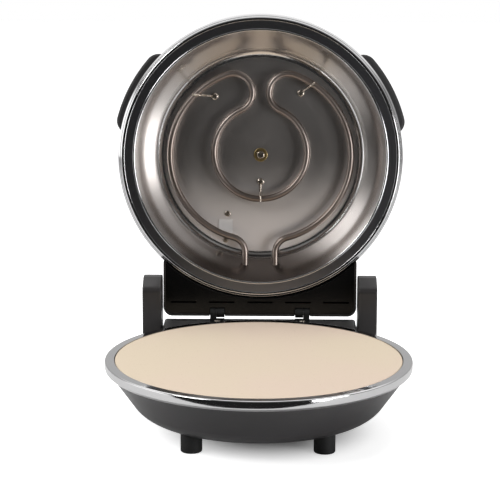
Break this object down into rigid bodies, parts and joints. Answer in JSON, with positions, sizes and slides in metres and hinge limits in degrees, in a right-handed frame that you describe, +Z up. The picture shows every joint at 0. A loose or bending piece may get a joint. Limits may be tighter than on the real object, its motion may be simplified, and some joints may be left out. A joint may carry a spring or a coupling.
{
  "type": "electric pizza maker",
  "caption": "Countertop pizza maker: round stone in a shallow bowl on feet, domed lid with a looped heater and side grips, hinged on knuckles between the arms of a rear box.",
  "frame": {"origin": "on the ground plane under the feet, straight below the middle of the bowl and its stone", "axes": "+Z up, +Y from the front to the hinge at the back, +X to the right as seen from the front"},
  "size_m": [0.3306, 0.4251, 0.4234],
  "materials": {
    "stone": "matt fired cordierite",
    "ring_steel": "polished",
    "liner_steel": "bright drawn sheet",
    "shell_paint": "dark satin enamel",
    "sheath": "dull, heat tinted",
    "bright_wire": "bright zinc plated",
    "brass": "plain",
    "ferrule": "unglazed",
    "black_plastic": "fine satin",
    "box_plastic": "satin",
    "gloss_black": "polished",
    "knob_plastic": "satin gloss",
    "red_lens": "clear tinted",
    "green_lens": "clear tinted",
    "lead_sleeve": "silicone",
    "hinge_plastic": "glass-filled nylon",
    "bright_plate": "satin aluminium",
    "foot_rubber": "matt",
    "steel": "plain"
  },
  "bodies": {
    "base": {"baking_stone": "stone", "base_trim_ring": "ring_steel", "base_bowl": "shell_paint", "base_pan": "liner_steel", "pan_spacer": "steel", "pan_screw": "bright_wire", "lower_element": "sheath", "lower_ferrules": "ferrule", "lower_clips": "bright_wire", "lower_clip_screws": "bright_wire", "rear_housing": "box_plastic", "rear_base_plate": "box_plastic", "base_plate_screws": "bright_wire", "base_housing_screws": "bright_wire", "arm_left": "box_plastic", "arm_right": "box_plastic", "arm_screws": "bright_wire", "hinge_lug_left": "hinge_plastic", "hinge_lug_right": "hinge_plastic", "hinge_pin_left": "steel", "hinge_pin_right": "steel", "lug_screws": "bright_wire", "foot_front_left": "foot_rubber", "foot_front_right": "foot_rubber", "foot_rear_left": "foot_rubber", "foot_rear_right": "foot_rubber", "foot_screws": "bright_wire", "mains_inlet": "knob_plastic", "inlet_pins": "brass", "base_terminal_block": "ferrule", "base_leads": "lead_sleeve"},
    "lid": {"lid_trim_ring": "ring_steel", "lid_reflector": "liner_steel", "lid_dome": "shell_paint", "dome_spacer": "steel", "centre_washer": "brass", "centre_screw": "bright_wire", "upper_element": "sheath", "upper_ferrules": "ferrule", "upper_clips": "bright_wire", "upper_clip_screws": "bright_wire", "cutout_plate": "bright_plate", "cutout_screws": "bright_wire", "thermal_cutout": "steel", "lid_housing": "box_plastic", "lid_plate": "gloss_black", "lid_housing_screws": "bright_wire", "lid_lug_left": "hinge_plastic", "lid_lug_right": "hinge_plastic", "lid_lug_screws": "bright_wire", "handle_left": "black_plastic", "handle_right": "black_plastic", "handle_screws": "bright_wire", "thermostat_body": "hinge_plastic", "lamp_red": "red_lens", "lamp_green": "green_lens", "lid_terminal_block": "ferrule", "lid_leads": "lead_sleeve"},
    "knob": {"thermostat_shaft": "steel", "thermostat_knob": "knob_plastic"}
  },
  "joints": [
    {"name": "lid_hinge", "type": "hinge", "parent": "base", "child": "lid", "pos_m": [0, 0.18, 0.082], "axis": [-1, 0, 0], "range_deg": [-95.2, 0]},
    {"name": "knob_turn", "type": "hinge", "parent": "lid", "child": "knob", "pos_m": [0, 0.22788, 0.0917], "axis": [0, -0.9959, 0.0906], "range_deg": [0, 270]}
  ]
}
